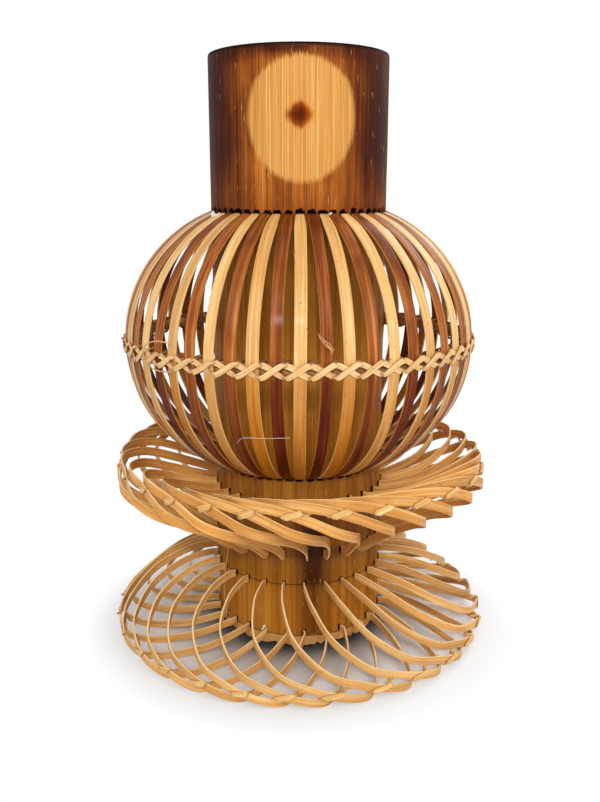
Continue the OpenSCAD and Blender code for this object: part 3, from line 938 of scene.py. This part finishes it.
def scorch_and_shade_at(turns, heights):
    """How dark the culm is painted: at the neck scorched, most at its sides and mouth, with a painted sheen
    along its outline as seen from the front; below the neck darkened in bands by height, partly painted
    shade.
    """
    bearing = bearing_of(turns)
    off_front = np.abs(bearing)
    side = rise(np.abs(bearing + 2), 22, 56)
    neck = 0.34 + 0.71 * side
    neck -= 0.35 * rise(off_front, 100, 160)
    neck += 0.16 * rise(heights, 322, 331)
    neck += 0.28 * rise(heights, 325, 332) * (0.4 + 0.6 * side)
    neck -= 0.42 * rise(heights, 285, 251) * side
    # Painted sheen: less dark in a band along the neck's outline as seen from the front
    neck -= 0.16 * rise(off_front, 72, 86) * rise(off_front, 110, 96)
    neck += 0.5 * rise(heights, 326, 330) * np.exp(-((bearing + 10) / 16) ** 2)
    neck += 0.10 * rise(heights, 262, 250)
    low = np.interp(heights, *zip(*LOW_DARKENING))
    # Painted shade: a narrow dark stripe just right of the front, from 92 mm down
    low = low + 0.6 * np.exp(-((bearing - 10) / 9.0) ** 2) * rise(heights, 92, 72)
    return np.where(heights < NECK_Z, low, neck)


def outer_surface(turn, slots_of_strips):
    """Radius, height, ribs and painted parts of the outer surface, and its ragged lower edge."""
    turns, heights = np.meshgrid(turn, culm_rows())
    ribs = culm_ribs(turns)
    # A slightly uneven cane that flares a little at the mouth
    r = CULM_R + ribs + 0.12 * np.sin(np.radians(turns) * 3 + 1.0)
    r = r + (0.6 + 0.5 * np.sin(np.radians(turns))) * rise(heights, *FLARE_Z)
    # Ragged lower edge
    ragged = torn_edge(RAGGED_STEPS)
    foot = FOOT_Z + 1.8 * ragged**2 - 1.3
    fade = np.clip(1 - (heights - FOOT_Z) / FOOT_FADE, 0, 1)
    heights = heights + fade * (foot[None, :] - FOOT_Z)
    r = r - 0.5 * fade**2 * ragged[None, :]
    r, char_and_hole_shade = cut_slots(turns, heights, r, ribs, splint_slots() + slots_of_strips)
    char_and_hole_shade = np.maximum(char_and_hole_shade, np.clip(heights - (MOUTH_Z - CHARRED_LIP), 0, 1) * 0.85)
    torn = torn_edge(TORN_STEPS)
    cut = 0.9 * np.clip(1.2 - (heights - foot[None, :]) / (0.8 + 2.4 * torn[None, :] ** 2), 0, 1)
    return r, heights, ribs, (scorch_and_shade_at(turns, heights), char_and_hole_shade, cut), foot


def culm_faces(grid_z, outer_count):
    """Faces between the rings. U runs round the culm and V up it, both in metres."""
    count = len(grid_z)
    columns = CULM_COLUMNS
    top_count = outer_count + len(TOP_RINGS)
    wrap = 2 * math.pi * CULM_R * MM
    faces, uv = [], []
    for a, b in [(a, (a + 1) % count) for a in range(count) if a != top_count - 1]:
        for c in range(columns):
            d = (c + 1) % columns
            faces.append((a * columns + c, a * columns + d, b * columns + d, b * columns + c))
            u0, u1 = (c / columns) * wrap, ((c + 1) / columns) * wrap
            if c >= columns // 2:
                u0, u1 = u0 - wrap, u1 - wrap
            v0, v1 = grid_z[a][c] * MM, grid_z[b][c] * MM
            # Past the outer surface the grain simply runs on, ring by ring
            if a >= outer_count - 1:
                past = a - outer_count
                v0, v1 = (MOUTH_Z + past * RING_UV_STEP) * MM, (MOUTH_Z + (past + 1) * RING_UV_STEP) * MM
            uv.extend([(u0, v0), (u1, v0), (u1, v1), (u0, v1)])
    # The middle of the node wall, above and below, has its two points after the rings
    middle = count * columns
    for ring, point, flip in ((top_count - 1, middle, False), (top_count, middle + 1, True)):
        for c in range(columns):
            face = (ring * columns + c, ring * columns + (c + 1) % columns, point)
            faces.append(face[::-1] if flip else face)
            uv.extend([(0, 0.4), (0.002, 0.4), (0.001, 0.45)])
    return faces, np.array(uv)


def build_culm(slots_of_strips):
    """The outer surface, lip, bore and node wall, then the node wall's underside and the foot."""
    columns = CULM_COLUMNS
    turn = np.arange(columns) * 360 / columns
    r, heights, ribs, painted, foot = outer_surface(turn, slots_of_strips)
    grid_r, grid_z = list(r), list(heights)
    tints = [list(part) for part in painted]
    for ring_r, ring_z, ring_in, ring_burnt in TOP_RINGS + UNDER_RINGS:
        wobble = r[-1] - CULM_R if ring_z > MOUTH_Z - 2 else 0.4 * ribs[-1]
        grid_r.append(ring_r + wobble)
        grid_z.append(np.full(columns, float(ring_z)))
        for part, value in zip(tints, (0.3, ring_burnt, float(ring_in))):
            part.append(np.full(columns, value))
    grid_z[-1] = foot + 0.8
    grid_r, grid_z = np.array(grid_r), np.array(grid_z)
    verts = polar(np.broadcast_to(turn, grid_r.shape), grid_r, grid_z).reshape(-1, 3)
    verts = np.vstack([verts, [[0, 0, NODE_Z], [0, 0, NODE_Z - NODE_T]]])
    faces, uv = culm_faces(grid_z, len(heights))
    tint = np.zeros((len(verts), 4))
    tint[:-2, :3] = np.clip(np.stack([np.array(part) for part in tints], axis=-1).reshape(-1, 3), 0, 1)
    tint[-2:, 2] = 1
    tint[:, 3] = 1
    batch = Batch()
    batch.add(verts, faces, uv, tint)
    batch.build("culm_wall", CULM, "culm_bamboo", "culm")


# Loose ends of the handwork, as (turn, radius, height) places
LOOSE_LOOP = [
    (-38.8, 102.6, 187.3), (-43.6, 104.5, 187.6), (-47.8, 105.4, 184.6), (-49.3, 105.4, 179.9),
    (-47.9, 105.2, 175.4), (-43.6, 104.6, 172.6), (-38.4, 102.8, 172.6),
]
FRAYED_FIBRES = 9
THREAD_STEP = 0.8
THREAD_SIDES = 6
GLUE_HAIR = [
    (-20.4, 89.6, 136.3), (-18.8, 92.0, 139.1), (-16.9, 93.0, 140.7), (-9.6, 93.4, 141.3),
    (-2.6, 93.6, 142.0),
]
HANGING_FIBRE = [
    (-53.7, 51.2, 60.0), (-55.0, 52.6, 45.0), (-57.0, 53.4, 30.0), (-56.0, 53.0, 18.0), (-53.0, 52.0, 12.0),
]
RIM_FIBRE = [(57.0, 110.2, 9.0), (60.0, 112.6, 12.0), (63.0, 114.0, 12.5)]
# Turn, radius, height and size
GLUE_DROPS = [
    (-57.5, 54.2, 247.6, 2.6), (-60.0, 53.6, 248.6, 2.2), (-55.5, 53.8, 247.2, 2.0),
    (-54.0, 53.2, 248.4, 1.4), (19.0, 51.2, 249.6, 0.8), (-24.0, 50.6, 12.5, 1.2),
    (-25.0, 50.6, 10.6, 0.9),
]


def thread(batch, places, thick, tone=0.6):
    """A thin round thread through (turn, radius, height) places."""
    path = resample(catmull([polar(*place) for place in places], 8), THREAD_STEP)
    outs = polar(np.degrees(np.arctan2(path[:, 0], -path[:, 1])), 1.0, 0.0)
    sweep(batch, path, outs, thick, thick, tone, profile=round_profile(THREAD_SIDES))


def build_lashing_ends():
    """The loop of the lashing's end on the left, and frayed fibres over the front splints."""
    batch = Batch()
    thread(batch, LOOSE_LOOP, 0.7)
    for i in range(FRAYED_FIBRES):
        bend = rng.uniform(-0.7, 0.7)
        drop = rng.uniform(0, 4.5)
        fibre = [
            (5.3 + 0.2 * i, 100.6, 195.6 - 0.6 * i),
            (6.3 + 0.25 * i + bend, 101.8, 193.4 - 0.6 * i),
            (7.9 + 0.1 * i - bend, 102.2, 191.2 - 0.5 * i),
            (9.2 + bend, 102.2, 188.6 - drop),
        ]
        thread(batch, fibre, 0.28, rng.uniform(0.1, 0.7))
    batch.build("loose_lashing_ends", LASHING, "lashing_straw")


def build_glue_thread():
    batch = Batch()
    thread(batch, GLUE_HAIR, 0.2, 0.9)
    batch.build("glue_thread", GLUE, "lashing_straw")


def build_strip_fibres():
    batch = Batch()
    thread(batch, HANGING_FIBRE, 0.5)
    thread(batch, RIM_FIBRE, 0.35)
    batch.build("loose_strip_fibres", BINDING, "binding_straw")


def build_glue_drops():
    batch = Batch()
    for turn, r, z, size in GLUE_DROPS:
        drop = [(turn - 0.7, r - 0.8, z - 0.5 * size), (turn, r, z), (turn + 0.7, r - 0.8, z + 0.5 * size)]
        thread(batch, drop, 1.3 * size)
    batch.build("glue_drops", GLUE, "culm_bamboo")


# Every piece of the vase
build_splints()
build_hoop()
build_lashing("lashing_falling", -1, 0, "belly_lash_falling")
build_lashing("lashing_rising", 1, 1, "belly_lash_rising")
upper_lines = build_strips(UPPER, UPPER_TIE_SHIFT, "upper_band", UPPER_STRIP, "upper_strip")
lower_lines = build_strips(LOWER, LOWER_TIE_SHIFT, "lower_band", LOWER_STRIP, "lower_strip")
build_binding(UPPER, UPPER_TIE_SHIFT, upper_lines, UPPER_TIE_W, "upper_binding_strand", "upper_binding")
build_binding(LOWER, LOWER_TIE_SHIFT, lower_lines, LOWER_TIE_W, "lower_binding_strand", "lower_binding")
build_culm(strip_slots(upper_lines, UPPER) + strip_slots(lower_lines, LOWER))
build_lashing_ends()
build_glue_thread()
build_strip_fibres()
build_glue_drops()

# Stage, light and camera. Lengths are in metres from here on
FLOOR_REACH = 6.0
# Painted shadow on the floor, by distance from the vase's axis: dark under the culm, grey out to the skirts
FLOOR_PAINTED_SHADOW = [
    (0.050, (0.08, 0.07, 0.065, 1)), (0.064, (0.42, 0.40, 0.385, 1)), (0.092, (0.74, 0.745, 0.755, 1)),
]
FLOOR_ENDS = (0.098, 0.132)
WORLD_LIGHT = 0.5

# Lamps: place, point that they aim at, size, power
LAMPS = {
    "key": ((-0.5, -1.3, 1.1), (0, 0, 0.15), (0.8, 0.8), 9.3),
    "fill": ((1.1, -1.0, 0.9), (0, 0, 0.15), (0.8, 0.8), 7.0),
    "gleam": ((0.05, -1.5, 0.93), (0, 0, 0.15), (0.30, 0.07), 9.0),
    "back": ((0.9, 0.9, 1.0), (0, 0, 0.12), (0.8, 0.8), 10),
}

CAMERA_AT = (0.0008, -0.504, 0.2633)
CAMERA_DOWN = 14
FOCAL_PX = 860.0
IMAGE_HEIGHT_PX = 802.0
SENSOR_MM = 36.0


def build_stage():
    """A floor with a painted shadow, dark under the culm and grey under the vase, that runs into the white
    background away from it.
    """
    mesh = bpy.data.meshes.new("floor")
    half = FLOOR_REACH
    corners = [(-half, -half, 0), (half, -half, 0), (half, half, 0), (-half, half, 0)]
    mesh.from_pydata(corners, [], [(0, 1, 2, 3)])
    floor = bpy.data.objects.new("floor", mesh)
    bpy.context.scene.collection.objects.link(floor)
    mat, tree, bsdf = shader("floor")
    bsdf.inputs["Roughness"].default_value = 0.9
    bsdf.inputs["Specular IOR Level"].default_value = 0.1
    k = Nodes(tree)
    far = k.add("ShaderNodeVectorMath", Vector=k.add("ShaderNodeTexCoord").outputs["Object"])
    far.operation = "LENGTH"
    far = far.outputs["Value"]
    k.put(bsdf.inputs["Base Color"], k.ramp(far, *FLOOR_PAINTED_SHADOW))
    white = k.add("ShaderNodeEmission", Color=(1, 1, 1, 1), Strength=1.0)
    rays = k.add("ShaderNodeLightPath")
    seen = k.math("MAXIMUM", rays.outputs["Is Camera Ray"], rays.outputs["Is Glossy Ray"])
    amount = k.times(k.ramp(far, (FLOOR_ENDS[0], 0.0), (FLOOR_ENDS[1], 1.0)), seen)
    blend = k.add("ShaderNodeMixShader", Fac=amount)
    tree.links.new(bsdf.outputs[0], blend.inputs[1])
    tree.links.new(white.outputs[0], blend.inputs[2])
    tree.links.new(blend.outputs[0], tree.nodes["Material Output"].inputs[0])
    mesh.materials.append(mat)


def build_lamp(name, place, aim, size, power):
    lamp = bpy.data.lights.new(name, "AREA")
    lamp.shape = "RECTANGLE"
    lamp.size, lamp.size_y = size
    lamp.energy = power
    obj = bpy.data.objects.new(name, lamp)
    bpy.context.scene.collection.objects.link(obj)
    obj.location = place
    direction = np.array(aim, float) - np.array(place, float)
    obj.rotation_euler = Vector(direction).to_track_quat("-Z", "Y").to_euler()


def build_world():
    """White to the camera and in reflections, and half as bright as a light."""
    world = bpy.data.worlds.new("world")
    bpy.context.scene.world = world
    world.use_nodes = True
    background = world.node_tree.nodes["Background"]
    k = Nodes(world.node_tree)
    rays = k.add("ShaderNodeLightPath")
    mirrored = k.math("MAXIMUM", rays.outputs["Is Glossy Ray"], rays.outputs["Is Transmission Ray"])
    seen = k.math("MAXIMUM", rays.outputs["Is Camera Ray"], mirrored)
    k.put(background.inputs["Color"], (1, 1, 1, 1))
    k.put(background.inputs["Strength"], k.plus(WORLD_LIGHT, k.times(seen, 1 - WORLD_LIGHT)))


def build_camera():
    data = bpy.data.cameras.new("camera")
    data.sensor_width = SENSOR_MM
    data.lens = SENSOR_MM * FOCAL_PX / IMAGE_HEIGHT_PX
    camera = bpy.data.objects.new("camera", data)
    bpy.context.scene.collection.objects.link(camera)
    camera.location = CAMERA_AT
    camera.rotation_euler = (math.radians(90 - CAMERA_DOWN), 0, 0)
    bpy.context.scene.camera = camera


build_stage()
build_world()
for lamp_name, lamp_values in LAMPS.items():
    build_lamp(lamp_name, *lamp_values)
build_camera()
bpy.context.scene.view_settings.view_transform = "Standard"
